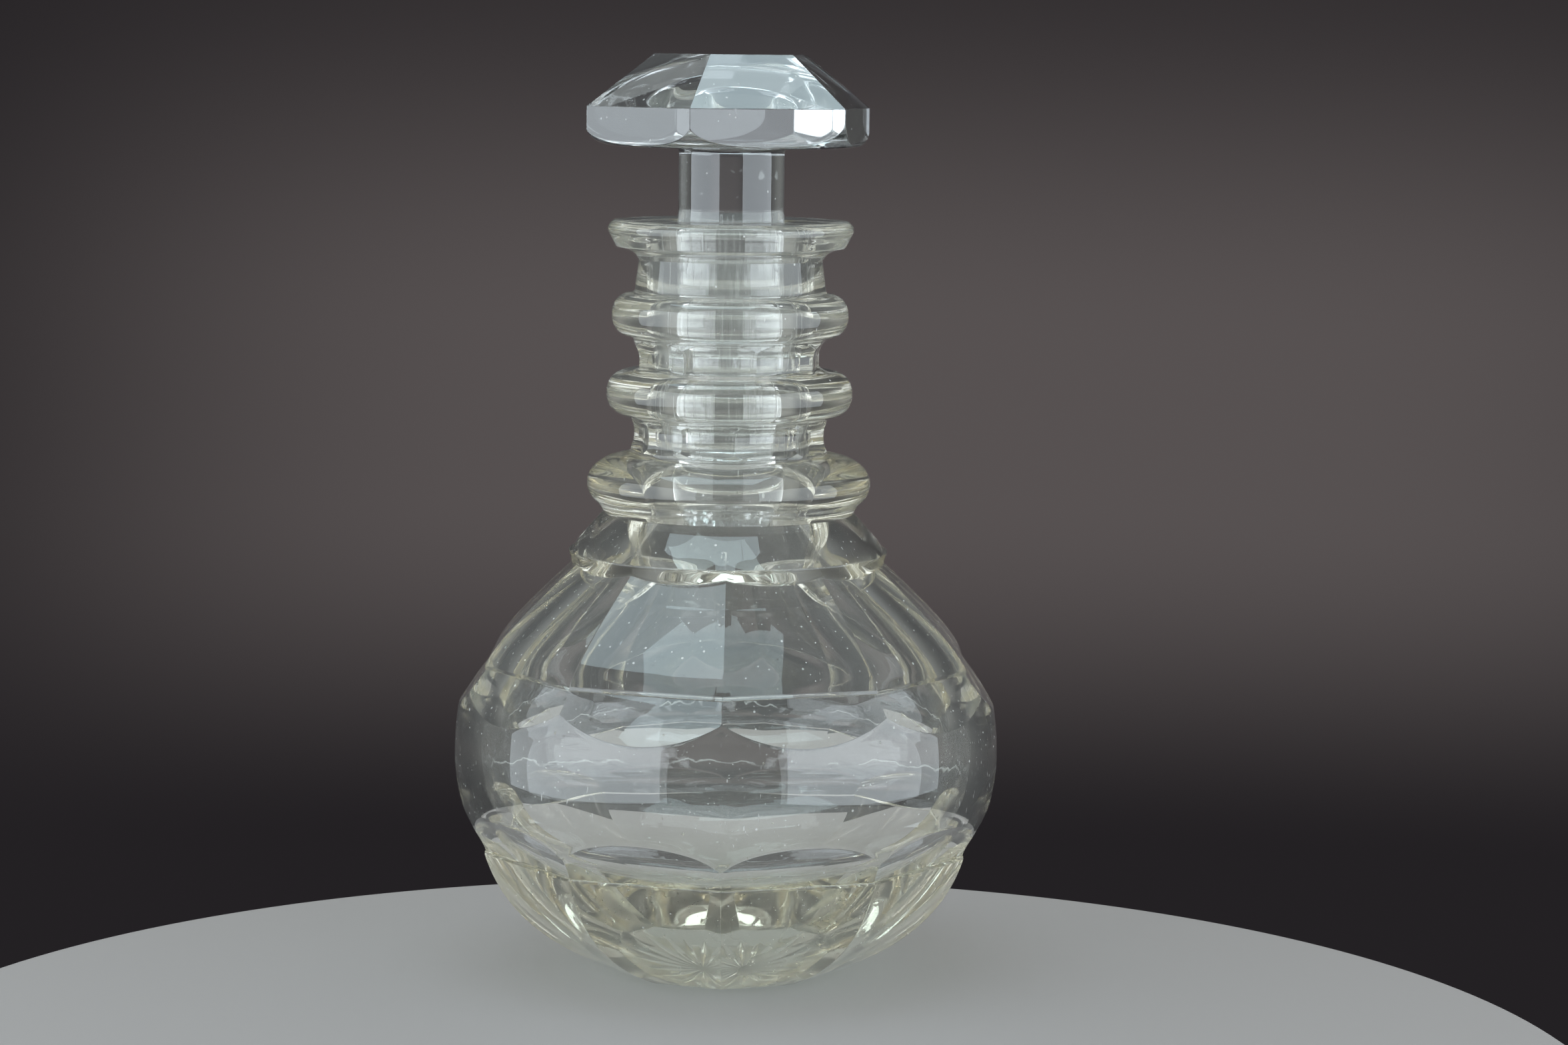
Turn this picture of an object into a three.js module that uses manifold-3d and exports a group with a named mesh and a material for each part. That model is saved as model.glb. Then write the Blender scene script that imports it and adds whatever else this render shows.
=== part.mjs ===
// Cut glass sherry decanter: a ten sided bulb, three rings round the neck, a flat lip and a
// hexagonal mushroom stopper on a long ground peg.
// Millimetres, +Z up. The origin is the centre of the rest face, on the table.
// The arris between two panels of the bulb faces -Y, the front.

import * as THREE from 'three';
import { mergeVertices } from 'three/addons/utils/BufferGeometryUtils.js';
import Module from 'manifold-3d';

const wasm = await Module();
wasm.setup();

// Bulb, widths
const BELLY_RADIUS = 68.5;          // round belly of the blown blank at its widest
const BELLY_CURVE_BELOW = 43;       // radius of the belly's upright curve under its widest line
const BELLY_CURVE_ABOVE = 76;       // and above it
const BASE_RADIUS = 28;             // centre to corner of the rest face
const LINE_INSET = 6.3;             // corners of the two cut lines, in from the belly
const LINE_STEP = 0.4;              // how far the cut lines stand proud
const BAND_RADIUS = 39.3;           // corner of the shoulder band at its foot
const BAND_FLARE = 0.7;             // how much wider the band is at its top
const WAIST_RADIUS = 31.4;          // top of the shoulder, under the lowest ring

// Bulb, heights, each counted from the one before
const LOWER_PANEL_HEIGHT = 31.7;    // rest face to lower cut line
const LINE_HEIGHT = 0.8;            // either cut line
const LOWER_LENS_HEIGHT = 10.8;     // lower row of lens cuts
const BELLY_RISE = 11.7;            // tops of the lower lens cuts to the widest line
const BELLY_FALL = 12.5;            // widest line to the feet of the upper lens cuts
const UPPER_LENS_HEIGHT = 10.9;     // upper row of lens cuts
const UPPER_PANEL_HEIGHT = 24.6;    // upper cut line to shoulder band
const BAND_HEIGHT = 2.6;            // shoulder band
const SHOULDER_HEIGHT = 9.6;        // band to the seat of the lowest ring

// Bulb, how the cuts are laid out
const PANEL_COUNT = 10;
const LENS_CORNER_SHARE = 0.475;    // where two lens cuts meet, as a share of their height
const HOLLOW_STEPS = 3;
const PANEL_STEPS = 8;
const BELLY_STEPS = 9;
const LOWER_PANEL_OUT_SHARE = 0.81;
const LOWER_PANEL_UP_SHARE = 0.335;
const UPPER_PANEL_IN_SHARE = 0.0925;
const UPPER_PANEL_UP_SHARE = 0.248;

// Inside of the bulb
const WALL = 7;                     // glass at the widest line
const FLOOR_THICKNESS = 15;         // glass over the rest face
const FLOOR_FULLNESS = 2.2;         // 2 is an ellipse, more is a squarer floor
const CAVITY_FOOT_SHARE = 0.52;     // handles of the curve from belly to bore, as shares
const CAVITY_HEAD_SHARE = 0.38;     // of its height
const CAVITY_STEPS = 10;

// Star cut under the base
const STAR_RAYS = 20;
const STAR_RIM = 3.6;               // plain glass left round the star
const STAR_HEART = 1.6;             // plain glass left in its middle
const STAR_RAY_WIDTH = 2.4;
const STAR_RAY_DEPTH = 0.9;

// Stopper and the bore that it fits
const SHANK_RADIUS = 13.25;
const SHANK_HEIGHT = 18.3;          // lip to the underside of the head
const PEG_LENGTH = 63;              // part of the stopper that is inside the neck
const PEG_TAPER = 0.5;              // radius lost over that length
const PEG_CHAMFER = 0.8;
const HEAD_RADIUS = 37.4;           // round girdle of the head's blank
const HEAD_HEIGHT = 22.8;
const HEAD_FOOT_RADIUS = 28.2;      // flat underside
const GIRDLE_LIFT = 6.8;            // underside to the widest line of the head
const GIRDLE_HEIGHT = 9.8;          // underside to the top edge of the girdle flats
const GIRDLE_FLAT_DEPTH = 5.6;      // how far the six girdle flats cut into the blank
const TABLE_APOTHEM = 17.1;         // centre to side of the flat top
const HEAD_FULLNESS = 2.1;
const HEAD_STEPS = 5;
const FACET_BEARINGS = [-46, 16, 80, 137, 195, 254];   // degrees from the front, cut by eye
const SHANK_FILLET = 1.2;

// Neck
const NECK_WALL = 10.4;             // glass round the bore
const NECK_DRAW_IN = 1.1;           // how much slimmer the neck is at the lip
const NECK_FLARE = 0.9;             // how much wider it is at the shoulder than at the top ring
const FACET_DEPTH_LOWER = 0.8;      // ten flats between the lowest and middle rings
const FACET_DEPTH_UPPER = 2.5;      // eight flats between the middle and top rings
const FACET_RUNOUT = 3.2;           // height over which a neck flat runs out of the glass
const UPPER_FACET_COUNT = 8;
const UPPER_FACET_BEARING = 17;     // degrees from the front to their first arris

// Rings and lip, heights counted upwards
const SHOULDER_RING_HEIGHT = 14.4;
const SHOULDER_RING_PROUD = 10.4;
const LOWER_NECK_HEIGHT = 9.9;
const MIDDLE_RING_HEIGHT = 11.3;
const MIDDLE_RING_PROUD = 6.1;
const UPPER_NECK_HEIGHT = 8.5;
const TOP_RING_HEIGHT = 10.7;
const TOP_RING_PROUD = 5.2;
const RING_STEPS = 8;
const LIP_NECK_HEIGHT = 8.7;
const LIP_HEIGHT = 9.4;
const LIP_PROUD = 7.4;
const LIP_BEVEL = 1.3;
const LIP_EDGE_HEIGHT = 6.4;        // height of the lip's rim, bevel included
const LIP_SLANT = 1.9;              // how far the rim's foot lies in from its widest line
const LIP_HOLLOW_OUT_SHARE = 0.2;   // handle of the hollow under the lip, as shares
const LIP_HOLLOW_UP_SHARE = 0.75;

// Clearances and how finely round work is divided
const JOINT_GAP = 0.3;              // between a ring and what it sits on or goes round
const PEG_CLEARANCE = 0.3;          // between the peg and its bore
const CUT_OVERRUN = 3;              // how far a cutter runs past what it cuts
const BLANK_SEGMENTS = 80;
const BORE_SEGMENTS = 60;

// Heights worked out from the sizes above
const Z_LOWER_LENS = LOWER_PANEL_HEIGHT + LINE_HEIGHT;
const Z_LOWER_LENS_TOP = Z_LOWER_LENS + LOWER_LENS_HEIGHT;
const Z_BELLY = Z_LOWER_LENS_TOP + BELLY_RISE;
const Z_UPPER_LENS = Z_BELLY + BELLY_FALL;
const Z_UPPER_LINE = Z_UPPER_LENS + UPPER_LENS_HEIGHT;
const Z_UPPER_PANEL = Z_UPPER_LINE + LINE_HEIGHT;
const Z_BAND = Z_UPPER_PANEL + UPPER_PANEL_HEIGHT;
const Z_BAND_TOP = Z_BAND + BAND_HEIGHT;
const Z_SEAT = Z_BAND_TOP + SHOULDER_HEIGHT;
const Z_LOWER_NECK = Z_SEAT + SHOULDER_RING_HEIGHT;
const Z_MIDDLE_RING = Z_LOWER_NECK + LOWER_NECK_HEIGHT;
const Z_UPPER_NECK = Z_MIDDLE_RING + MIDDLE_RING_HEIGHT;
const Z_TOP_RING = Z_UPPER_NECK + UPPER_NECK_HEIGHT;
const Z_LIP_NECK = Z_TOP_RING + TOP_RING_HEIGHT;
const Z_LIP = Z_LIP_NECK + LIP_NECK_HEIGHT;
const Z_RIM = Z_LIP + LIP_HEIGHT;
const Z_PEG_END = Z_RIM - PEG_LENGTH;
const Z_HEAD = Z_RIM + SHANK_HEIGHT;

// Radii worked out from the sizes above
const LINE_RADIUS = BELLY_RADIUS - LINE_INSET;
const PEG_END_RADIUS = SHANK_RADIUS - PEG_TAPER;
const BORE_RADIUS = SHANK_RADIUS + PEG_CLEARANCE;
const BORE_END_RADIUS = PEG_END_RADIUS + PEG_CLEARANCE;
const NECK_RADIUS = BORE_RADIUS + NECK_WALL;

// A regular polygon's apothem over its centre to corner radius
const apothemShare = (sides) => Math.cos(Math.PI / sides);

const degrees = (angle) => THREE.MathUtils.degToRad(angle);

// Turns an outline of [radius, height] pairs, drawn upwards, round the Z axis. The first
// meridian faces the front, and turn moves it by an angle.
function turned(outline, segments, turn = 0) {
  const points = outline.map(([radius, height]) => new THREE.Vector2(radius, height));
  const geometry = new THREE.LatheGeometry(points, segments, turn);
  geometry.rotateX(Math.PI / 2);
  return toSolid(geometry);
}

// A geometry with merged corners becomes a solid that can be joined and cut
function toSolid(geometry) {
  geometry.deleteAttribute('normal');
  geometry.deleteAttribute('uv');
  const merged = mergeVertices(geometry);
  const corners = merged.index.array;
  const triangles = [];
  for (let i = 0; i < corners.length; i += 3) {
    const [a, b, c] = corners.slice(i, i + 3);
    if (a !== b && b !== c && c !== a) triangles.push(a, b, c);
  }
  return new wasm.Manifold(new wasm.Mesh({
    numProp: 3,
    vertProperties: merged.attributes.position.array,
    triVerts: Uint32Array.from(triangles),
  }));
}

// A solid becomes a named mesh with its own glass
function glassPiece(name, solid, colour, roughness) {
  const { numProp, vertProperties, triVerts } = solid.getMesh();
  const geometry = new THREE.BufferGeometry();
  geometry.setAttribute('position', new THREE.BufferAttribute(vertProperties, numProp));
  geometry.setIndex(new THREE.BufferAttribute(triVerts, 1));
  geometry.computeVertexNormals();
  const material = new THREE.MeshStandardMaterial({
    color: colour,
    roughness,
    metalness: 0,
    transparent: true,
    opacity: 0.35,
  });
  const mesh = new THREE.Mesh(geometry, material);
  mesh.name = name;
  return mesh;
}

// Points along a curve as [radius, height] pairs, without its first point
const along = (curve, steps) => curve.getPoints(steps).slice(1).map(({ x, y }) => [x, y]);

// A quadratic curve from one [radius, height] pair to another
const bow = (start, handle, end) => new THREE.QuadraticBezierCurve(
  new THREE.Vector2(...start),
  new THREE.Vector2(...handle),
  new THREE.Vector2(...end),
);

// Radius of the round blank in the belly
function bellyRadius(height) {
  const rise = height - Z_BELLY;
  const curve = rise < 0 ? BELLY_CURVE_BELOW : BELLY_CURVE_ABOVE;
  return BELLY_RADIUS - rise ** 2 / (2 * curve);
}

// Radius of the round neck, which narrows a little from shoulder to top ring and then more
// quickly to the lip
function neckRadius(height) {
  const { mapLinear, clamp } = THREE.MathUtils;
  const flare = mapLinear(height, Z_SEAT, Z_LIP_NECK, NECK_FLARE, 0);
  const drawIn = mapLinear(clamp(height, Z_LIP_NECK, Z_LIP), Z_LIP_NECK, Z_LIP, 0, NECK_DRAW_IN);
  return NECK_RADIUS + Math.max(flare, 0) - drawIn;
}

// The round blank of bulb and neck. Where the flats take everything it is a plain cylinder.
function blankOutline() {
  const outline = [[0, 0], [BELLY_RADIUS, 0], [BELLY_RADIUS, Z_LOWER_LENS]];
  for (let step = 0; step <= BELLY_STEPS; step += 1) {
    const height = THREE.MathUtils.lerp(Z_LOWER_LENS, Z_UPPER_LINE, step / BELLY_STEPS);
    outline.push([bellyRadius(height), height]);
  }
  outline.push(
    [BELLY_RADIUS, Z_UPPER_LINE],
    [BELLY_RADIUS, Z_BAND],
    [BAND_RADIUS + BAND_FLARE * 2, Z_BAND],
    [BAND_RADIUS + BAND_FLARE * 2, Z_BAND_TOP],
    [WAIST_RADIUS, Z_SEAT],
    [neckRadius(Z_SEAT), Z_SEAT],
    [neckRadius(Z_LIP_NECK), Z_LIP_NECK],
    [neckRadius(Z_LIP), Z_LIP],
    [neckRadius(Z_RIM), Z_RIM],
    [0, Z_RIM],
  );
  return outline;
}

// One row of lens cuts, from the cut line at [radius, height] to the height where the middle
// of each cut runs out of the round belly, and on past it
function lensOutline(lineHeight, runOutHeight) {
  const cornerHeight = THREE.MathUtils.lerp(lineHeight, runOutHeight, LENS_CORNER_SHARE);
  const runOut = [bellyRadius(runOutHeight) / apothemShare(PANEL_COUNT), runOutHeight];
  const corner = [bellyRadius(cornerHeight), cornerHeight];
  const slope = (runOut[0] - corner[0]) / Math.abs(runOutHeight - cornerHeight);
  const onward = Math.sign(runOutHeight - lineHeight) * CUT_OVERRUN;
  return [
    [LINE_RADIUS, lineHeight],
    corner,
    runOut,
    [runOut[0] + slope * CUT_OVERRUN, runOutHeight + onward],
  ];
}

// A row of flats on the neck, between the tops and feet of two rings, as deep as asked
function neckFlats(foot, top, depth, sides) {
  const clear = neckClear(sides);
  const flat = (neckRadius(top) - depth) / apothemShare(sides);
  return [
    [clear, foot - FACET_RUNOUT],
    [flat, foot],
    [flat, top - FACET_RUNOUT],
    [clear, top],
  ];
}

// A corner radius whose flats clear the neck
const neckClear = (sides) => (NECK_RADIUS + NECK_FLARE + CUT_OVERRUN) / apothemShare(sides);

// What the ten flats leave: corner radius against height, drawn upwards
function panelOutline() {
  const share = apothemShare(PANEL_COUNT);
  const line = LINE_RADIUS + LINE_STEP;
  const lower = bow(
    [BASE_RADIUS, 0],
    [
      THREE.MathUtils.lerp(BASE_RADIUS, line, LOWER_PANEL_OUT_SHARE),
      LOWER_PANEL_HEIGHT * LOWER_PANEL_UP_SHARE,
    ],
    [line, LOWER_PANEL_HEIGHT],
  );
  const upper = bow(
    [line, Z_UPPER_PANEL],
    [
      THREE.MathUtils.lerp(line, BAND_RADIUS, UPPER_PANEL_IN_SHARE),
      THREE.MathUtils.lerp(Z_UPPER_PANEL, Z_BAND, UPPER_PANEL_UP_SHARE),
    ],
    [BAND_RADIUS, Z_BAND],
  );
  return [
    [0, -CUT_OVERRUN],
    [BASE_RADIUS, -CUT_OVERRUN],
    [BASE_RADIUS, 0],
    ...along(lower, PANEL_STEPS),
    [line, Z_LOWER_LENS],
    ...lensOutline(Z_LOWER_LENS, Z_LOWER_LENS_TOP),
    ...lensOutline(Z_UPPER_LINE, Z_UPPER_LENS).reverse(),
    [line, Z_UPPER_LINE],
    [line, Z_UPPER_PANEL],
    ...along(upper, PANEL_STEPS),
    [BAND_RADIUS + BAND_FLARE, Z_BAND_TOP],
    [WAIST_RADIUS / share, Z_SEAT],
    [neckClear(PANEL_COUNT), Z_SEAT],
    ...neckFlats(Z_LOWER_NECK + FACET_RUNOUT / 2, Z_MIDDLE_RING, FACET_DEPTH_LOWER, PANEL_COUNT),
    [neckClear(PANEL_COUNT), Z_RIM + CUT_OVERRUN],
    [0, Z_RIM + CUT_OVERRUN],
  ];
}

// What the eight flats of the upper neck leave
function upperNeckOutline() {
  const clear = (BELLY_RADIUS + CUT_OVERRUN) / apothemShare(UPPER_FACET_COUNT);
  return [
    [0, -CUT_OVERRUN],
    [clear, -CUT_OVERRUN],
    [clear, Z_MIDDLE_RING],
    ...neckFlats(Z_UPPER_NECK, Z_TOP_RING + FACET_RUNOUT / 2, FACET_DEPTH_UPPER, UPPER_FACET_COUNT),
    [neckClear(UPPER_FACET_COUNT), Z_RIM + CUT_OVERRUN],
    [0, Z_RIM + CUT_OVERRUN],
  ];
}

// The blown hollow, from the floor of the bulb up through the ground bore
function cavityOutline() {
  const radius = BELLY_RADIUS - WALL;
  const outline = [];
  for (let step = 0; step < CAVITY_STEPS; step += 1) {
    const angle = (Math.PI / 2) * (step / CAVITY_STEPS);
    outline.push([
      radius * Math.sin(angle) ** (2 / FLOOR_FULLNESS),
      Z_BELLY - (Z_BELLY - FLOOR_THICKNESS) * Math.cos(angle) ** (2 / FLOOR_FULLNESS),
    ]);
  }
  const height = Z_PEG_END - Z_BELLY;
  const upper = new THREE.CubicBezierCurve(
    new THREE.Vector2(radius, Z_BELLY),
    new THREE.Vector2(radius, Z_BELLY + height * CAVITY_FOOT_SHARE),
    new THREE.Vector2(BORE_END_RADIUS, Z_PEG_END - height * CAVITY_HEAD_SHARE),
    new THREE.Vector2(BORE_END_RADIUS, Z_PEG_END),
  );
  outline.push([radius, Z_BELLY], ...along(upper, CAVITY_STEPS));
  outline.push([BORE_RADIUS, Z_RIM], [BORE_RADIUS, Z_RIM + CUT_OVERRUN]);
  outline.push([0, Z_RIM + CUT_OVERRUN]);
  return outline;
}

// One V groove of the star, pointed at both ends
function starRay(bearing) {
  const reach = BASE_RADIUS * apothemShare(PANEL_COUNT) - STAR_RIM;
  const geometry = new THREE.OctahedronGeometry(1);
  geometry.scale((reach - STAR_HEART) / 2, STAR_RAY_WIDTH / 2, STAR_RAY_DEPTH);
  geometry.translate((reach + STAR_HEART) / 2, 0, 0);
  geometry.rotateZ(bearing);
  return toSolid(geometry);
}

// Bulb and neck: blown as one, then cut
function decanterBody() {
  let body = turned(blankOutline(), BLANK_SEGMENTS);
  body = body.intersect(turned(panelOutline(), PANEL_COUNT));
  const facetTurn = degrees(UPPER_FACET_BEARING);
  body = body.intersect(turned(upperNeckOutline(), UPPER_FACET_COUNT, facetTurn));
  body = body.subtract(turned(cavityOutline(), BORE_SEGMENTS));
  for (let ray = 0; ray < STAR_RAYS; ray += 1) {
    body = body.subtract(starRay((2 * Math.PI * ray) / STAR_RAYS));
  }
  return body;
}

// A ring laid round the neck between two heights, half an ellipse in section
function neckRing(foot, top, proud) {
  const half = (top - foot) / 2;
  const outline = [];
  for (let step = 0; step <= RING_STEPS; step += 1) {
    const angle = Math.PI * (step / RING_STEPS - 1 / 2);
    const height = foot + half * (1 + Math.sin(angle));
    const across = step % RING_STEPS ? proud * Math.cos(angle) : 0;
    outline.push([neckRadius(height) + JOINT_GAP + across, height]);
  }
  outline.push(outline[0]);
  return turned(outline, BORE_SEGMENTS);
}

// The flat lip: a rim with a bevelled top edge over a hollow underside
function pouringLip() {
  const inner = neckRadius(Z_RIM) + JOINT_GAP;
  const outer = inner + LIP_PROUD;
  const edge = Z_RIM - LIP_EDGE_HEIGHT;
  const foot = outer - LIP_SLANT;
  const handle = [
    THREE.MathUtils.lerp(inner, foot, LIP_HOLLOW_OUT_SHARE),
    THREE.MathUtils.lerp(Z_LIP, edge, LIP_HOLLOW_UP_SHARE),
  ];
  const under = bow([inner, Z_LIP], handle, [foot, edge]);
  const outline = [
    [inner, Z_LIP],
    ...along(under, HOLLOW_STEPS),
    [outer, Z_RIM - LIP_BEVEL * 2],
    [outer, Z_RIM - LIP_BEVEL],
    [outer - LIP_BEVEL, Z_RIM],
    [inner, Z_RIM],
    [inner, Z_LIP],
  ];
  return turned(outline, BORE_SEGMENTS);
}

// The stopper before its facets are cut: peg, shank and round head
function stopperBlank() {
  const outline = [
    [0, Z_PEG_END],
    [PEG_END_RADIUS - PEG_CHAMFER, Z_PEG_END],
    [PEG_END_RADIUS, Z_PEG_END + PEG_CHAMFER],
    [SHANK_RADIUS, Z_RIM],
    [SHANK_RADIUS, Z_HEAD - SHANK_FILLET],
    [SHANK_RADIUS + SHANK_FILLET, Z_HEAD],
    [HEAD_FOOT_RADIUS, Z_HEAD],
  ];
  for (let step = 1; step <= HEAD_STEPS; step += 1) {
    const angle = (Math.PI / 2) * (step / HEAD_STEPS);
    const share = Math.sin(angle) ** (2 / HEAD_FULLNESS);
    const lift = step < HEAD_STEPS ? 1 - Math.cos(angle) ** (2 / HEAD_FULLNESS) : 1;
    outline.push([
      THREE.MathUtils.lerp(HEAD_FOOT_RADIUS, HEAD_RADIUS, share),
      Z_HEAD + GIRDLE_LIFT * lift,
    ]);
  }
  outline.push([HEAD_RADIUS, Z_HEAD + HEAD_HEIGHT], [0, Z_HEAD + HEAD_HEIGHT]);
  return turned(outline, BLANK_SEGMENTS);
}

// A block whose face lies through an edge at [radius, height] and leans back from upright by
// an angle, seen on one bearing: what one flat of the head removes
function flatCutter(radius, height, lean, bearing) {
  const size = HEAD_RADIUS * 2;
  const geometry = new THREE.BoxGeometry(size, size, size);
  geometry.translate(0, -size / 2, 0);
  geometry.rotateX(-lean);
  geometry.translate(0, -radius, height);
  geometry.rotateZ(bearing);
  return toSolid(geometry);
}

// Peg, shank and head in one piece, with six girdle flats and six slopes up to the table
function stopper() {
  const flat = HEAD_RADIUS - GIRDLE_FLAT_DEPTH;
  const edge = Z_HEAD + GIRDLE_HEIGHT;
  const lean = Math.atan2(flat - TABLE_APOTHEM, HEAD_HEIGHT - GIRDLE_HEIGHT);
  let solid = stopperBlank();
  for (const bearing of FACET_BEARINGS) {
    solid = solid.subtract(flatCutter(flat, edge, 0, degrees(bearing)));
    solid = solid.subtract(flatCutter(flat, edge, lean, degrees(bearing)));
  }
  return solid;
}

const BODY_GLASS = 0xe3e8e1;
const RING_GLASS = 0xe6ebe6;
const STOPPER_GLASS = 0xeef2f3;
const POLISHED = 0.04;
const GROUND = 0.12;

const decanter = new THREE.Group();
decanter.add(
  glassPiece('decanter_body', decanterBody(), BODY_GLASS, POLISHED),
  glassPiece(
    'shoulder_ring',
    neckRing(Z_SEAT + JOINT_GAP, Z_LOWER_NECK, SHOULDER_RING_PROUD),
    RING_GLASS,
    POLISHED,
  ),
  glassPiece(
    'middle_neck_ring',
    neckRing(Z_MIDDLE_RING, Z_UPPER_NECK, MIDDLE_RING_PROUD),
    RING_GLASS,
    POLISHED,
  ),
  glassPiece(
    'top_neck_ring',
    neckRing(Z_TOP_RING, Z_LIP_NECK, TOP_RING_PROUD),
    RING_GLASS,
    POLISHED,
  ),
  glassPiece('pouring_lip', pouringLip(), RING_GLASS, POLISHED),
  glassPiece('stopper', stopper(), STOPPER_GLASS, GROUND),
);

export default decanter;
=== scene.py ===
"""Looks of a cut glass sherry decanter.

Bulb, neck, rings and lip are one continuous piece of glass, as hot laid glass is. The stopper is
another, and its ground peg stands in the neck. The glass is drawn in millimetres, as pairs of
radius and height, and bearings are in degrees from the front, turning towards the right. Finishes
and studio are in metres.
"""

import logging
import math
import random
from collections.abc import Callable
from dataclasses import dataclass, field
from enum import Enum

import bmesh
import bpy
import numpy as np
from mathutils import Matrix, Vector


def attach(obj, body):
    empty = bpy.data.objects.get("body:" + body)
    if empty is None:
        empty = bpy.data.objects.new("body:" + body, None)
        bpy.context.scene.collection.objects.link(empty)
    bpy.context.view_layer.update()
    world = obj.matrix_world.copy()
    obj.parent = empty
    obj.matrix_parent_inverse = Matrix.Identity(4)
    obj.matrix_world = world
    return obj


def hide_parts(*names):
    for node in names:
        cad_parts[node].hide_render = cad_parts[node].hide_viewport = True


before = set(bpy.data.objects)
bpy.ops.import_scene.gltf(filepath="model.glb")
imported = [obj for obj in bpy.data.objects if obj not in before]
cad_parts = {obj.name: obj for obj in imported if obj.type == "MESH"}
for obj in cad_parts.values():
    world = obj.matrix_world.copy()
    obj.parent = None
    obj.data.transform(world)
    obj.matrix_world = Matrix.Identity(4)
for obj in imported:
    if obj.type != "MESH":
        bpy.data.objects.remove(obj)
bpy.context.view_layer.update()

LOG = logging.getLogger("decanter")
MM = 0.001
CUT = "cut_flat"
SHARP_ANGLE = 33
HALVINGS = 30
LEAST_AREA = 1e-14
LEAST_LENGTH = 1e-20

Pair = tuple[float, float]
Point = tuple[float, float, float]
Colour = tuple[float, float, float, float]
Row = np.ndarray
Values = Row | float
Rule = Callable[[Row], Row]


# Shapes that the pieces share


def curve(points: list[tuple], steps: int) -> list[tuple]:
    """Points of a Bezier curve, both ends included.

    Args:
        points: its ends with the handles between them, each a radius and a height. Either may be
            one number or a number for each column.
        steps: how many spans it has.

    Returns:
        steps + 1 pairs of radius and height.
    """
    order = len(points) - 1
    made = []
    for share in np.linspace(0.0, 1.0, steps + 1):
        pulls = [
            math.comb(order, k) * share**k * (1 - share) ** (order - k) for k in range(order + 1)
        ]
        made.append(tuple(sum(p * v for p, v in zip(pulls, values)) for values in zip(*points)))
    return made


def eased_least(first: Row, second: Row, ease: float) -> Row:
    """The lesser of two radii, with the edge between them rounded off.

    Args:
        first: radii of one surface.
        second: radii of the other.
        ease: how far apart the surfaces are where the rounding starts.

    Returns:
        The radii that are left.
    """
    near = np.maximum(ease - np.abs(first - second), 0.0) / ease
    return np.minimum(first, second) - near**2 * ease / 4


def border(columns: int, start: float, end: float, holds: Rule) -> Row:
    """Where a rule stops holding, found by halving.

    Args:
        columns: how many columns there are.
        start: a height where the rule holds.
        end: a height where it doesn't.
        holds: the rule, which takes a height for each column.

    Returns:
        A height for each column.
    """
    inside, outside = np.full(columns, start), np.full(columns, end)
    for _ in range(HALVINGS):
        middle = (inside + outside) / 2
        held = holds(middle)
        inside, outside = np.where(held, middle, inside), np.where(held, outside, middle)
    return (inside + outside) / 2


def spin(shape: bmesh.types.BMesh, steps: int) -> None:
    """Spins all of a shape once round the upright axis."""
    bmesh.ops.spin(
        shape,
        geom=shape.verts[:] + shape.edges[:],
        cent=(0, 0, 0),
        axis=(0, 0, 1),
        angle=2 * math.pi,
        steps=steps,
        use_merge=True,
    )


def weld(shape: bmesh.types.BMesh, distance: float) -> None:
    """Makes one corner of all that lie within a distance, and turns the faces outward."""
    bmesh.ops.remove_doubles(shape, verts=shape.verts[:], dist=distance)
    bmesh.ops.recalc_face_normals(shape, faces=shape.faces[:])


def in_order(shape: bmesh.types.BMesh, line: Point = (0.611, 0.233, 0.757)) -> None:
    """Puts the corners, edges and faces in the order in which they lie along a line.

    Blender's cuts leave them in another order each run, and the order decides which of two close
    corners a weld keeps.
    """
    for parts, place in (
        (shape.verts, lambda vert: vert.co),
        (shape.edges, lambda edge: edge.verts[0].co + edge.verts[1].co),
        (shape.faces, lambda face: face.calc_center_median()),
    ):
        parts.sort(key=lambda part: place(part).dot(line))
        parts.index_update()


def finished(shape: bmesh.types.BMesh, name: str) -> bpy.types.Mesh:
    """Makes a mesh of a shape and frees the shape."""
    mesh = bpy.data.meshes.new(name)
    shape.to_mesh(mesh)
    shape.free()
    return mesh


def placed(name: str, data: bpy.types.ID) -> bpy.types.Object:
    """Puts a mesh, a lamp or a camera into the scene as an object of that name."""
    made = bpy.data.objects.new(name, data)
    bpy.context.scene.collection.objects.link(made)
    return made


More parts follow.
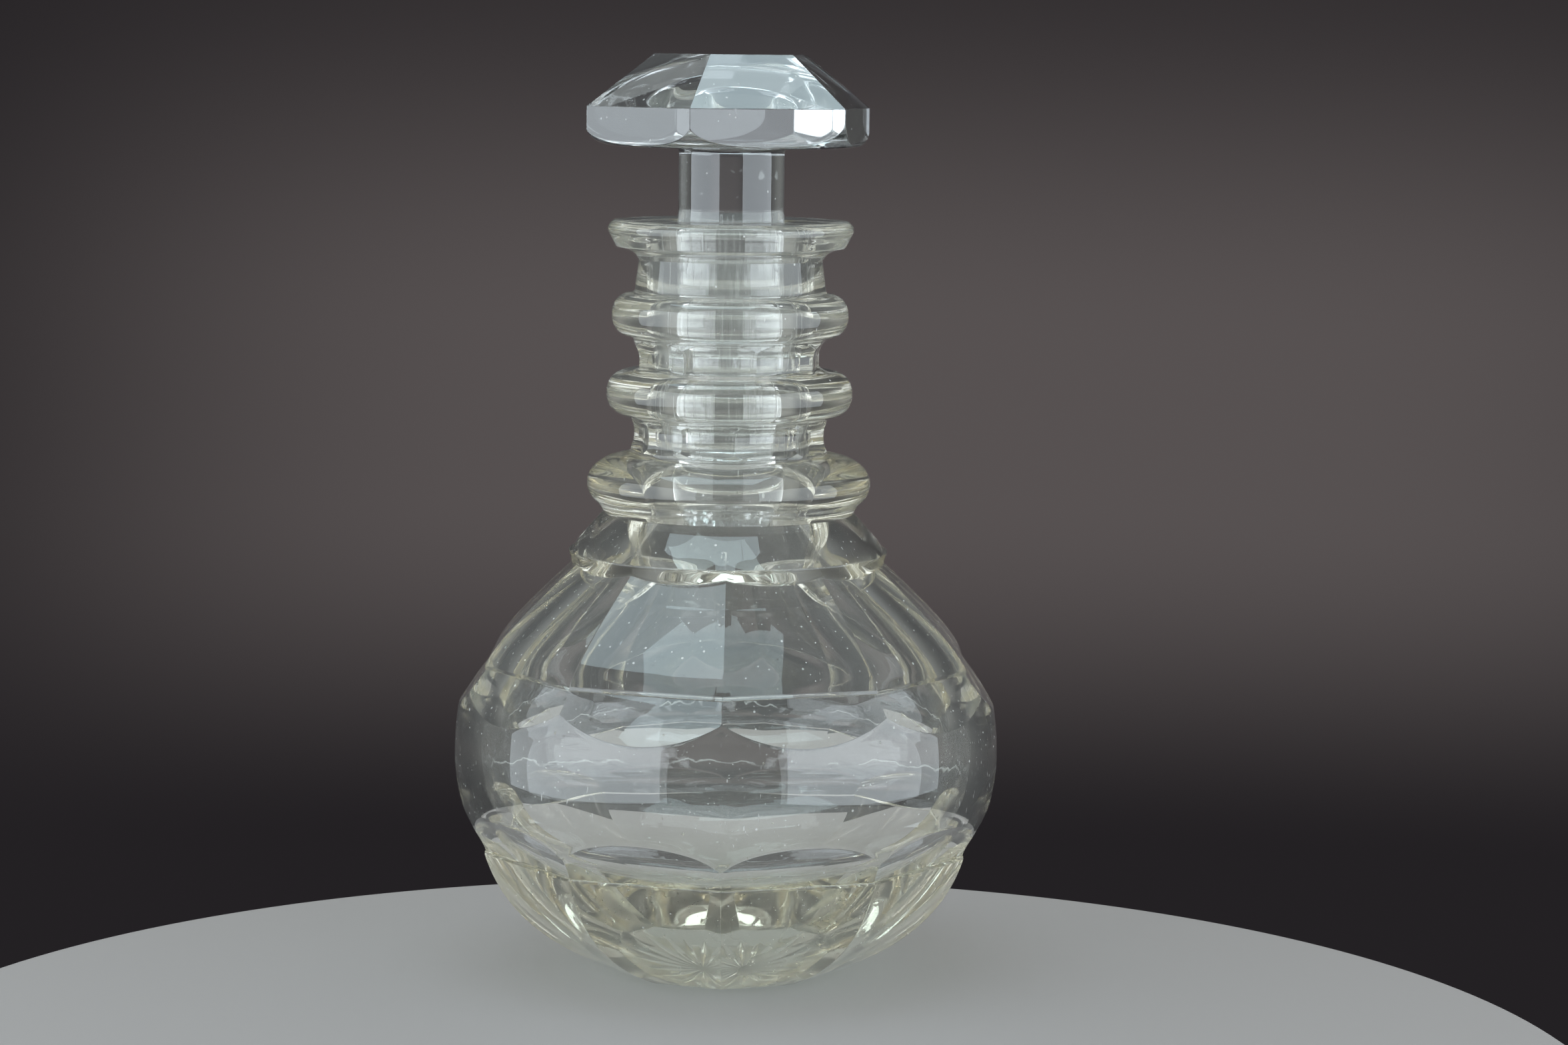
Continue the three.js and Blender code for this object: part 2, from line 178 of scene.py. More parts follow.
@dataclass(frozen=True)
class Flats:
    """Flats cut side by side round the glass, and the columns of corners that follow them."""

    arrises: tuple[float, ...]
    columns: int = 240
    crowd: tuple[float, ...] = (0.0, 0.0025, 0.005, 0.014)
    worn: float = 0.5

    def _each(self, rule: Callable[[float, float, Row], Row]) -> Row:
        """A value for each column of each flat, by a rule of three things: the flat's first arris
        and its angle, in radians, and how far across it each column lies, from 0 to 1."""
        edge = list(self.crowd)
        inner_count = self.columns // len(self.arrises) - 2 * len(edge) + 3
        inner = np.linspace(edge[-1], 1 - edge[-1], inner_count)[1:-1]
        share = np.array([*edge, *inner, *(1 - part for part in reversed(edge[1:]))])
        ends = [math.radians(arris) for arris in (*self.arrises, self.arrises[0] + 360)]
        return np.concatenate([rule(a, b - a, share) for a, b in zip(ends, ends[1:])])

    def bearings(self) -> Row:
        """The bearing of every column, in radians."""
        return self._each(lambda start, angle, share: start + angle * share)

    def radii(self, corner: Values) -> Row:
        """Radii of flats whose arrises are slightly worn round.

        Args:
            corner: radius of the unworn arrises, one number or one for each column.

        Returns:
            A radius for each column.
        """
        half = self._each(lambda start, angle, share: angle / 2 + 0 * share)
        across = np.abs(self._each(lambda start, angle, share: angle * (share - 0.5)))
        apothem = corner * np.cos(half)
        worn = min(self.worn, float(np.min(apothem)) / 4)
        turned = across > np.arctan((apothem - worn) * np.tan(half) / apothem)
        centre = (apothem - worn) / np.cos(half)
        away = half - across
        inside = np.maximum(worn**2 - (centre * np.sin(away)) ** 2, 0.0)
        rounded = centre * np.cos(away) + np.sqrt(inside)
        return np.where(turned, rounded, apothem / np.cos(across))


TEN_SIDES = tuple(36.0 * side for side in range(10))
EVEN = Flats(TEN_SIDES, crowd=(0.0, 1 / 24, 2 / 24, 3 / 24))


@dataclass
class Skin:
    """A closed surface of glass as rows of corners, each row one full turn."""

    rows: list[tuple[Row, Row, Row, Row]] = field(default_factory=list)
    cut_depth: float = 0.001
    weld: float = 1e-7

    def turn(self, bearings: Row, radius: Values, height: Values, cut: Values = False) -> None:
        """Adds a row. All but the bearings may be one value or one for each column.

        Args:
            bearings: bearing of every column, in radians.
            radius: how far from the axis.
            height: how high.
            cut: True where the wheel has cut the glass flat.
        """
        even = np.zeros_like(bearings)
        self.rows.append((bearings, even + radius, even + height, even + cut > 0))

    def climb(
        self, bearings: Row, knots: list, steps: tuple, radius: Rule, uncut: Rule | None = None
    ) -> None:
        """Adds rows between heights that may differ from column to column.

        Args:
            bearings: bearing of every column, in radians.
            knots: heights that rows pass through exactly.
            steps: how many rows lead from each knot to the next.
            radius: gives the radius at a height for each column.
            uncut: gives the radius of the round glass there, where some of it is cut.
        """
        knots = [np.zeros_like(bearings) + knot for knot in knots]
        levels = [knots[0]]
        for low, high, count in zip(knots, knots[1:], steps):
            levels += [low + (high - low) * step / count for step in range(1, count + 1)]
        for height in levels:
            cut = radius(height) < uncut(height) - self.cut_depth if uncut else False
            self.turn(bearings, radius(height), height, cut)

    def mesh(self, name: str) -> bpy.types.Mesh:
        """Spins a straight post once round and lays its corners on the rows.

        Args:
            name: the new mesh's name.

        Returns:
            The closed mesh, in metres, with its faces outward.
        """
        rows, columns = len(self.rows), len(self.rows[0][0])
        shape = bmesh.new()
        flat = shape.verts.layers.int.new(CUT)
        post = shape.edges.new([shape.verts.new((1, 0, z)) for z in (0, rows - 1)])
        bmesh.ops.subdivide_edges(shape, edges=[post], cuts=rows - 2)
        spin(shape, columns)
        for corner in shape.verts:
            bearings, radii, heights, cut = self.rows[round(corner.co.z)]
            turn = math.atan2(corner.co.y, corner.co.x) / (2 * math.pi) * columns
            column = round(turn) % columns
            radius = radii[column] * MM
            corner.co.x = radius * math.sin(bearings[column])
            corner.co.y = -radius * math.cos(bearings[column])
            corner.co.z = heights[column] * MM
            corner[flat] = int(cut[column])
        weld(shape, self.weld)
        return finished(shape, name)


# Sub-assemblies of the decanter


@dataclass
class Bulb:
    """Ten sided bulb: star, lower panels, two rows of lens cuts, upper panels, band, shoulder."""

    flats: Flats = Flats(TEN_SIDES)
    belly: float = 68.44
    belly_height: float = 55.0
    curve_below: float = 43.0
    curve_above: float = 76.0
    belly_rows: tuple[int, ...] = (7, 1, 1, 24, 1, 1, 7)
    belly_ease: float = 0.06
    belly_wear: float = 0.09
    star_rays: int = 20
    star_reach: Pair = (1.4, 23.2)
    star_ray: Pair = (2.3, 0.8)
    star_heart: float = 0.7
    star_rim: float = 24.2
    star_rows: int = 18
    base: float = 28.0
    rest_edge: tuple[Pair, ...] = ((26.8, 0.0), (27.6, 0.02))
    panel_foot: float = 0.1
    lower_handle: Pair = (56.0, 10.6)
    lower_rows: int = 22
    line: float = 62.2
    line_step: float = 0.4
    lower_line: Pair = (31.7, 32.5)
    upper_line: Pair = (78.4, 79.2)
    line_clearance: float = 0.25
    lower_lens: Pair = (37.4, 43.3)
    upper_lens: Pair = (73.2, 67.5)
    upper_handle: Pair = (60.4, 85.3)
    upper_rows: tuple[int, ...] = (20, 1, 1, 4)
    sweep_steps: int = 60
    sweep_end: Pair = (35.3, 107.3)
    band: Pair = (39.3, 103.8)
    band_top: Pair = (39.98, 106.4)
    band_reach: float = 1.5
    band_ease: float = 0.05
    band_wear: float = 0.08
    band_clearance: float = 0.15
    waist: Pair = (31.4, 116.0)
    shoulder_shares: tuple[float, ...] = (0.0, 0.012, 0.05, *np.linspace(0.1, 1.0, 10))
    shoulder_edge: float = 0.03
    shoulder_offset: Pair = (-0.04, 0.05)
    shoulder_flatness: float = 0.5
    flat_share: float = 0.25
    ledge: tuple[tuple[int, float, int, float], ...] = (
        (1, -0.02, 0, -0.09), (1, 0.0, 0, 0.06), (1, 0.0, 1, -0.12),
        (1, -0.05, 1, -0.02), (0, 0.06, 1, 0.02), (0, 0.01, 1, 0.1),
    )

    def round_blank(self, height: Row) -> Row:
        """Radius of the blown blank at the belly."""
        rise = height - self.belly_height
        bend = np.where(rise < 0, self.curve_below, self.curve_above)
        return self.belly - rise**2 / (2 * bend)

    def _lens(self, line: float, corner: float, run_out: float) -> Callable:
        """How one row of wheel cut lenses runs, as arris radius against height.

        Args:
            line: height of the cut line that the row starts at.
            corner: height at which two lenses meet on the round belly.
            run_out: height at which the middle of each runs out of it.

        Returns:
            A function from height to radius.
        """
        meeting, leaving = (float(self.round_blank(np.array(h))) for h in (corner, run_out))
        heights = np.array([line, corner, run_out])
        radii = np.array([self.line, meeting, leaving / math.cos(math.pi / len(TEN_SIDES))])
        return np.poly1d(np.polyfit(heights, radii, 2))

    def _run_out(self, lens: Callable, start: float) -> Row:
        """The height at which a lens cut leaves the round belly, for each column."""

        def is_cut(height: Row) -> Row:
            """Says where the cut is inside the blank."""
            return self.flats.radii(lens(height)) < self.round_blank(height)

        return border(self.flats.columns, start, self.belly_height, is_cut)

    def lay_star(self, skin: Skin) -> None:
        """Lays the rest face with its star of V grooves."""
        even = EVEN.bearings()
        ray_width, ray_depth = self.star_ray
        middle, half = sum(self.star_reach) / 2, (self.star_reach[1] - self.star_reach[0]) / 2
        skin.turn(even, 0.0, 0.0)
        spread = np.linspace(*self.star_reach, self.star_rows)
        for radius in (self.star_heart, *spread, self.star_rim):
            depth = np.zeros_like(even)
            for ray in range(self.star_rays):
                away = even - 2 * math.pi * ray / self.star_rays
                along, aside = radius * np.cos(away), np.abs(radius * np.sin(away))
                left = 1 - np.abs(along - middle) / half - aside / (ray_width / 2)
                depth = np.maximum(depth, ray_depth * left)
            skin.turn(even, radius, depth)

    def lay_lower_panels(self, skin: Skin) -> None:
        """Lays the ten panels that sweep up from the rest face to the lower cut line."""
        bearings, flats = self.flats.bearings(), self.flats
        for radius, height in self.rest_edge:
            skin.turn(bearings, flats.radii(radius), height)
        end = (self.line + self.line_step, self.lower_line[0])
        foot, *sweep = curve([(self.base, 0.0), self.lower_handle, end], self.lower_rows)[:-1]
        for radius, height in [(foot[0], self.panel_foot), *sweep]:
            skin.turn(bearings, flats.radii(radius), height, True)

    def lay_line(self, skin: Skin, low: float, high: float, rising: bool) -> None:
        """Lays a narrow cut line that stands proud of the lens cuts.

        Each corner of its ledge says how many steps out it is and how much more, and then how
        many times the line's height up it is and how much more.

        Args:
            skin: the surface to add to.
            low: its lower height.
            high: its upper height.
            rising: True where the lens cuts are above it.
        """
        section = [
            (self.line + self.line_step * step + out, low + (high - low) * share + lift)
            for step, out, share, lift in self.ledge
        ]
        if not rising:
            section = [(radius, low + high - height) for radius, height in reversed(section)]
        for radius, height in section:
            skin.turn(self.flats.bearings(), self.flats.radii(radius), height, True)

    def lay_belly(self, skin: Skin) -> None:
        """Lays the round belly with the row of lens cuts below it and the row above it."""
        line_low = self.lower_line[1] + self.line_clearance
        line_high = self.upper_line[0] - self.line_clearance
        lower = self._lens(self.lower_line[1], *self.lower_lens)
        upper = self._lens(self.upper_line[0], *self.upper_lens)
        lower_edge, upper_edge = self._run_out(lower, line_low), self._run_out(upper, line_high)

        def radius(height: Row) -> Row:
            """What the blank and both rows of cuts leave at a height."""
            arris = np.where(height > self.belly_height, upper(height), lower(height))
            return eased_least(self.round_blank(height), self.flats.radii(arris), self.belly_ease)

        wears = (-self.belly_wear, 0.0, self.belly_wear)
        edges = [edge + wear for edge in (lower_edge, upper_edge) for wear in wears]
        knots = [line_low, *edges, line_high]
        skin.climb(self.flats.bearings(), knots, self.belly_rows, radius, self.round_blank)

    def lay_upper_panels(self, skin: Skin) -> None:
        """Lays the upper panels up to the round band, and the band."""
        line = (self.line + self.line_step, self.upper_line[1])
        sweep = curve([line, self.upper_handle, self.band], self.sweep_steps)
        radii, heights = zip(*sweep, self.sweep_end)
        slope = (self.band_top[0] - self.band[0]) / (self.band_top[1] - self.band[1])

        def panel(height: Row) -> Row:
            """Radius of the panels at a height."""
            return self.flats.radii(np.interp(height, heights, radii))

        def band(height: Row) -> Row:
            """Radius of the round band, carried on below its foot."""
            return self.band[0] + slope * (height - self.band[1])

        edge = border(
            self.flats.columns,
            self.upper_line[1],
            self.band[1] + self.band_reach,
            lambda height: panel(height) > band(height),
        )
        foot = self.upper_line[1] + self.line_clearance
        top, wear = self.band_top[1] - self.band_clearance, self.band_wear
        skin.climb(
            self.flats.bearings(),
            [foot, edge - wear, edge, edge + wear, top],
            self.upper_rows,
            lambda height: -eased_least(-panel(height), -band(height), self.band_ease),
            lambda height: np.where(height < edge, np.inf, 0.0),
        )

    def lay_shoulder(self, skin: Skin) -> None:
        """Lays the cone from the band to the seat of the lowest ring, flat only at its foot."""
        bearings = self.flats.bearings()
        (foot, low), (head, high) = self.band_top, self.waist
        inward, upward = self.shoulder_offset
        skin.turn(bearings, foot - self.shoulder_edge, low)
        for share in self.shoulder_shares:
            radius = foot + (head - foot) * share + inward
            flatness = self.shoulder_flatness * max(0.0, 1 - share / self.flat_share)
            cut = self.flats.radii(radius)
            height = low + (high - low) * share + upward
            skin.turn(bearings, radius + (cut - radius) * flatness, height)

    def lay(self, skin: Skin) -> None:
        """Lays the whole outside of the bulb, from the middle of the base upwards."""
        self.lay_star(skin)
        self.lay_lower_panels(skin)
        self.lay_line(skin, *self.lower_line, rising=True)
        self.lay_belly(skin)
        self.lay_line(skin, *self.upper_line, rising=False)
        self.lay_upper_panels(skin)
        self.lay_shoulder(skin)


@dataclass(frozen=True)
class NeckFlats:
    """A row of flats that a wheel has cut into the round neck between two rings."""

    flats: Flats
    corner: float
    middle: float
    hollow: float
    foot: float
    top: float
    ease: float = 0.08
    wear: float = 0.12
    shallowest: float = 0.02
    rows: tuple[int, ...] = (2, 1, 1, 8, 1, 1, 2)

    def radius(self, round_neck: Rule, height: Row) -> Row:
        """What neck and cuts leave at a height.

        Args:
            round_neck: radius of the round neck against height.
            height: one height for each column.

        Returns:
            A radius for each column.
        """
        cut = self.flats.radii(self.corner) + self.hollow * np.abs(height - self.middle) ** 3
        return eased_least(round_neck(height), cut, self.ease)

    def beside(self, round_neck: Rule, height: float) -> tuple[Row, Row]:
        """Bearings and radii at one height, for the ring that starts there."""
        return self.flats.bearings(), self.radius(
            round_neck, np.full(self.flats.columns, height)
        )

    def lay(self, skin: Skin, round_neck: Rule) -> None:
        """Lays the rows of this part of the neck, crowded along the edges of the cuts.

        Args:
            skin: the surface to add to.
            round_neck: radius of the round neck against height.
        """
        depth = round_neck(np.array(self.middle)) - self.flats.radii(self.corner)
        reach = (np.maximum(depth, self.shallowest) / self.hollow) ** (1 / 3)
        wear = self.wear
        low = np.clip(self.middle - reach, self.foot + 2 * wear, self.middle - 2 * wear)
        high = np.clip(self.middle + reach, self.middle + 2 * wear, self.top - 2 * wear)
        skin.climb(
            self.flats.bearings(),
            [self.foot, low - wear, low, low + wear, high - wear, high, high + wear, self.top],
            self.rows,
            lambda height: self.radius(round_neck, height),
            round_neck,
        )


@dataclass(frozen=True)
class Ring:
    """A ring of glass laid hot round the neck, full in section and eased into the neck."""

    foot: float
    top: float
    proud: float
    fullness: float = 2.25
    ease: float = 1.1
    rows: int = 31
    ease_steps: int = 5

    def lay(self, skin: Skin, middle: float, below: tuple, above: tuple) -> None:
        """Lays the ring's rows, turning the columns from the flats below to those above.

        Args:
            skin: the surface to add to.
            middle: radius of the ring's root.
            below: bearings and radii of the glass under it.
            above: bearings and radii of the glass over it.
        """
        half = (self.top - self.foot) / 2
        flat = 1 - (self.ease / self.proud) ** self.fullness
        start = math.asin(flat**0.5)
        section = []
        for angle in np.linspace(-start, start, self.rows):
            lift = abs(math.sin(angle)) ** (2 / self.fullness) * math.copysign(1, angle)
            out = math.cos(angle) ** (2 / self.fullness)
            section.append((middle + self.proud * out, self.foot + half * (1 + lift)))
        first, last = section[0], section[-1]
        root_below, root_above = (below[1], self.foot - self.ease), (above[1], self.top + self.ease)
        lower = curve([root_below, (below[1], first[1]), first], self.ease_steps)
        upper = curve([last, (above[1], last[1]), root_above], self.ease_steps)
        rows = [*lower[1:-1], *section, *upper[1:-1]]
        for step, (radius, height) in enumerate(rows, 1):
            share = step / (len(rows) + 1)
            skin.turn(below[0] + (above[0] - below[0]) * share, radius, height)


@dataclass
class Neck:
    """Round neck with three rings, two rows of flats and the flat pouring lip."""

    radius: float = 23.95
    flare: float = 0.9
    draw_in: float = 1.1
    seat: float = 116.0
    plain_foot: float = 170.8
    plain_rows: int = 6
    root: float = 0.3
    shoulder_ring: Ring = Ring(116.3, 130.4, 10.35, 2.1, 1.3)
    shoulder_root: float = 31.5
    shoulder_rows: tuple[Pair, ...] = ((31.55, 116.45), (31.75, 116.8))
    shoulder_start: Pair = (32.2, 117.5)
    middle_ring: Ring = Ring(140.3, 151.6, 6.1)
    middle_ring_height: float = 145.9
    top_ring: Ring = Ring(160.1, 170.8, 5.2)
    top_ring_height: float = 165.4
    lower_flats: NeckFlats = NeckFlats(
        Flats((4, 44, 80, 115, 150, 186, 222, 265, 305, 332), worn=0.35),
        corner=23.95,
        middle=135.6,
        hollow=0.024,
        foot=131.7,
        top=139.2,
    )
    upper_flats: NeckFlats = NeckFlats(
        Flats(tuple(17 + 45 * side for side in range(8)), worn=0.35),
        corner=23.35,
        middle=153.6,
        hollow=0.0125,
        foot=152.7,
        top=159.0,
    )
    lip_foot: float = 179.5
    lip_gap: float = 0.6
    lip_start: Pair = (22.93, 179.35)
    lip_underside: tuple[Pair, ...] = ((23.15, 179.6), (24.25, 181.75), (28.5, 182.4))
    lip_underside_steps: int = 8
    lip_rim: tuple[Pair, ...] = (
        (28.63, 182.53), (28.77, 182.75), (29.379, 183.94), (29.988, 185.13), (30.51, 186.15),
        (30.55, 186.43), (30.55, 187.43), (30.47, 187.66), (29.37, 188.79), (29.13, 188.88),
        (25.55, 188.86), (16.55, 188.78), (14.25, 188.72), (13.8, 188.58), (13.61, 188.28),
    )

    def round_neck(self, height: Row) -> Row:
        """Radius of the uncut neck at a height."""
        flare = self.flare * (self.plain_foot - height) / (self.plain_foot - self.seat)
        drawn = (height - self.plain_foot) / (self.lip_foot - self.plain_foot)
        return self.radius + np.maximum(flare, 0) - self.draw_in * np.clip(drawn, 0, 1)

    def _root(self, height: float) -> float:
        """Radius that a ring stands on, slightly proud of the neck."""
        return float(self.round_neck(np.array(height))) + self.root

    def lay(self, skin: Skin, bulb: Bulb) -> None:
        """Lays the outside of the neck, from the seat of the lowest ring to the mouth.

        Args:
            skin: the surface to add to.
            bulb: the bulb under it.
        """
        even, neck = EVEN.bearings(), self.round_neck
        lower, upper = self.lower_flats, self.upper_flats
        self._lay_shoulder_ring(skin, bulb.flats.bearings())
        lower.lay(skin, neck)
        below, above = lower.beside(neck, lower.top), upper.beside(neck, upper.foot)
        self.middle_ring.lay(skin, self._root(self.middle_ring_height), below, above)
        upper.lay(skin, neck)
        plain = self.plain_foot + self.top_ring.ease
        below, above = upper.beside(neck, upper.top), (even, neck(np.full(even.shape, plain)))
        self.top_ring.lay(skin, self._root(self.top_ring_height), below, above)
        skin.climb(even, [plain, self.lip_foot - self.lip_gap], (self.plain_rows,), neck)
        underside = curve(self.lip_underside, self.lip_underside_steps)
        for radius, height in (self.lip_start, *underside, *self.lip_rim):
            skin.turn(even, radius, height)

    def _lay_shoulder_ring(self, skin: Skin, bearings: Row) -> None:
        """Lays the lowest ring on the bulb's columns, straight from the shoulder."""
        ring, whole = self.shoulder_ring, Skin()
        above = self.lower_flats.beside(self.round_neck, self.lower_flats.foot)
        below = (bearings, self.shoulder_root + 0 * bearings)
        ring.lay(whole, self._root(ring.foot), below, above)
        for radius, height in self.shoulder_rows:
            skin.turn(bearings, radius, height)
        least, low = self.shoulder_start
        kept = [row for row in whole.rows if row[2].min() > low]
        lowest = next(i for i, row in enumerate(kept) if row[1].min() > least)
        skin.rows.extend(kept[lowest:])


@dataclass
class Hollow:
    """The inside: ground bore, throat, and the blown hollow of the bulb."""

    bore: float = 13.55
    bore_end: float = 13.05
    rim: float = 187.9
    peg_end: float = 125.9
    belly: float = 61.5
    belly_height: float = 55.0
    floor: float = 15.0
    fullness: float = 2.2
    foot_share: float = 0.52
    head_share: float = 0.38
    bore_rows: int = 5
    throat_rows: int = 48
    lower_rows: int = 38

    def lay(self, skin: Skin) -> None:
        """Lays the inside from the mouth down to the middle of the floor.

        Args:
            skin: the surface to add to.
        """
        even = EVEN.bearings()
        for share in np.linspace(0.0, 1.0, self.bore_rows + 1)[:-1]:
            radius = self.bore + (self.bore_end - self.bore) * share
            skin.turn(even, radius, self.rim + (self.peg_end - self.rim) * share)
        height = self.peg_end - self.belly_height
        throat = [
            (self.bore_end, self.peg_end),
            (self.bore_end, self.peg_end - height * self.head_share),
            (self.belly, self.belly_height + height * self.foot_share),
            (self.belly, self.belly_height),
        ]
        for radius, level in curve(throat, self.throat_rows):
            skin.turn(even, radius, level)
        for step in range(1, self.lower_rows + 1):
            angle = math.pi / 2 * (1 - step / self.lower_rows)
            out = max(math.sin(angle), 0.0) ** (2 / self.fullness)
            drop = math.cos(angle) ** (2 / self.fullness)
            radius = self.belly * out if step < self.lower_rows else 0.0
            skin.turn(even, radius, self.belly_height - (self.belly_height - self.floor) * drop)


@dataclass
class Seeds:
    """Small bubbles of air caught in the wall of old glass."""

    count: int = 46
    smallest: float = 0.1
    largest: float = 0.34
    rarity: float = 2.5
    heights: Pair = (40, 74)
    depths: Pair = (0.5, 0.9)
    stretches: Pair = (0.8, 1.5)
    cover: float = 3.2
    hollow_reach: float = 60
    hollow_least: float = 0.3
    seed: int = 1830

    def add(self, glass: bpy.types.Mesh, bulb: Bulb, hollow: Hollow) -> None:
        """Adds the bubbles' walls to the glass, facing into the bubbles.

        Args:
            glass: the mesh of the decanter.
            bulb: the bulb that they are in.
            hollow: its inside.
        """
        chance = random.Random(self.seed)
        shape = bmesh.new()
        shape.from_mesh(glass)
        for _ in range(self.count):
            height = chance.uniform(*self.heights)
            lift = abs(height - hollow.belly_height) / self.hollow_reach
            inner = hollow.belly * math.sqrt(max(1 - lift**2, self.hollow_least))
            outer = float(bulb.round_blank(np.array(height))) - self.cover
            reach = inner + (outer - inner) * chance.uniform(*self.depths)
            bearing = chance.uniform(0, 2 * math.pi)
            size = self.smallest + (self.largest - self.smallest) * chance.random() ** self.rarity
            place = Vector((math.sin(bearing), -math.cos(bearing), 0)) * reach
            place.z = height
            stretch = Matrix.Diagonal((1.0, 1.0, chance.uniform(*self.stretches), 1.0))
            made = bmesh.ops.create_icosphere(
                shape,
                subdivisions=2,
                radius=size * MM,
                matrix=Matrix.Translation(place * MM) @ stretch,
            )
            faces = {f for v in made["verts"] for f in v.link_faces}
            bmesh.ops.reverse_faces(shape, faces=list(faces))
        shape.to_mesh(glass)
        shape.free()


# Finishes


class Ray(Enum):
    """The kinds of light ray that a material or the surroundings answer differently."""

    CAMERA = "Is Camera Ray"
    GLOSSY = "Is Glossy Ray"
    PASSING = "Is Transmission Ray"
    SHADOW = "Is Shadow Ray"
    MIRRORED = "Glossy Depth"


def math_method(operation: str, swapped: bool = False) -> Callable:
    """Makes a method of Shade that adds a Math node, for an operator of Python's.

    Args:
        operation: what the node does.
        swapped: True where the shade is the second of its two values.

    Returns:
        The method.
    """

    def method(shade: "Shade", *others: object) -> "Shade":
        """Adds the node and gives its output."""
        values = (*others, shade) if swapped else (shade, *others)
        return shade.tree.node("Math", dict(enumerate(values)), {"operation": operation})

    return method


@dataclass(frozen=True)
class Shade:
    """One output of a node, on which sums are written as Python expressions."""

    tree: "Tree"
    socket: bpy.types.NodeSocket

    __add__ = __radd__ = math_method("ADD")
    __mul__ = __rmul__ = math_method("MULTIPLY")
    __sub__ = math_method("SUBTRACT")
    __rsub__ = math_method("SUBTRACT", swapped=True)
    __abs__ = math_method("ABSOLUTE")
    root = math_method("SQRT")

    def also(self, *names: str) -> list["Shade"]:
        """Other outputs of the same node, by name."""
        return [Shade(self.tree, self.socket.node.outputs[name]) for name in names]

    def within(self, low: float, high: float) -> "Shade":
        """How far the value is from low to high, kept from 0 to 1."""
        return self.tree.node(
            "MapRange",
            {"Value": self, "From Min": low, "From Max": high, "To Min": 0.0, "To Max": 1.0},
            {"clamp": True, "interpolation_type": "SMOOTHSTEP"},
        )


@dataclass(frozen=True)
class Tree:
    """The nodes of a material or of the surroundings."""

    tree: bpy.types.NodeTree

    def node(
        self,
        kind: str,
        sockets: dict[object, object] | None = None,
        settings: dict[str, object] | None = None,
        output: object = 0,
    ) -> Shade:
        """Adds a node.

        Args:
            kind: the node's type, without the word ShaderNode.
            sockets: values or links of its inputs, by name or number.
            settings: its own settings, which are set first.
            output: which output is wanted.

        Returns:
            That output.
        """
        made = self.tree.nodes.new("ShaderNode" + kind)
        for name, value in (settings or {}).items():
            setattr(made, name, value)
        for name, value in (sockets or {}).items():
            if isinstance(value, Shade):
                self.tree.links.new(value.socket, made.inputs[name])
            else:
                made.inputs[name].default_value = value
        return Shade(self, made.outputs[output] if made.outputs else None)

    def ray(self, kind: Ray) -> Shade:
        """Is 1 where the light ray is of this kind, and 0 elsewhere."""
        return self.node("LightPath", output=kind.value)

    def blend(self, share: object, first: Shade, second: Shade) -> Shade:
        """A shader between two, share being how much of the second."""
        return self.node("MixShader", {0: share, 1: first, 2: second})

    def mixed(self, share: object, first: object, second: object) -> Shade:
        """A colour between two, share being how much of the second."""
        sockets = {0: share, 6: first, 7: second}
        return self.node("Mix", sockets, {"data_type": "RGBA"}, output=2)


@dataclass(frozen=True)
class Spot:
    """Where on the glass a point is: its place, how far behind the axis, its height, and its
    distance from the axis."""

    place: Shade
    deep: Shade
    height: Shade
    out: Shade

    @classmethod
    def of(cls, tree: Tree) -> "Spot":
        """Reads the point from the object's own coordinates."""
        place = tree.node("TexCoord", output="Object")
        across, deep, height = tree.node("SeparateXYZ", {0: place}).also(*"XYZ")
        return cls(place, deep, height, (across * across + deep * deep).root())


@dataclass(frozen=True)
class Noise:
    """A soft irregular pattern, or fine lines where it is stretched.

    The turn is in radians, and the stretch says how often the pattern changes per metre. Where a
    span is given, the pattern is 0 below its first value and 1 above its second.
    """

    scale: float = 1.0
    detail: float = 1.0
    span: Pair | None = None
    turn: Point = (0.0, 0.0, 0.0)
    stretch: Point | None = None

    def on(self, spot: Spot) -> Shade:
        """The pattern's value at a point of the glass."""
        tree, place = spot.place.tree, spot.place
        if self.stretch:
            place = tree.node(
                "Mapping", {"Vector": place, "Rotation": self.turn, "Scale": self.stretch}
            )
        noise = tree.node(
            "TexNoise", {"Vector": place, "Scale": self.scale, "Detail": self.detail}
        )
        return noise.within(*self.span) if self.span else noise


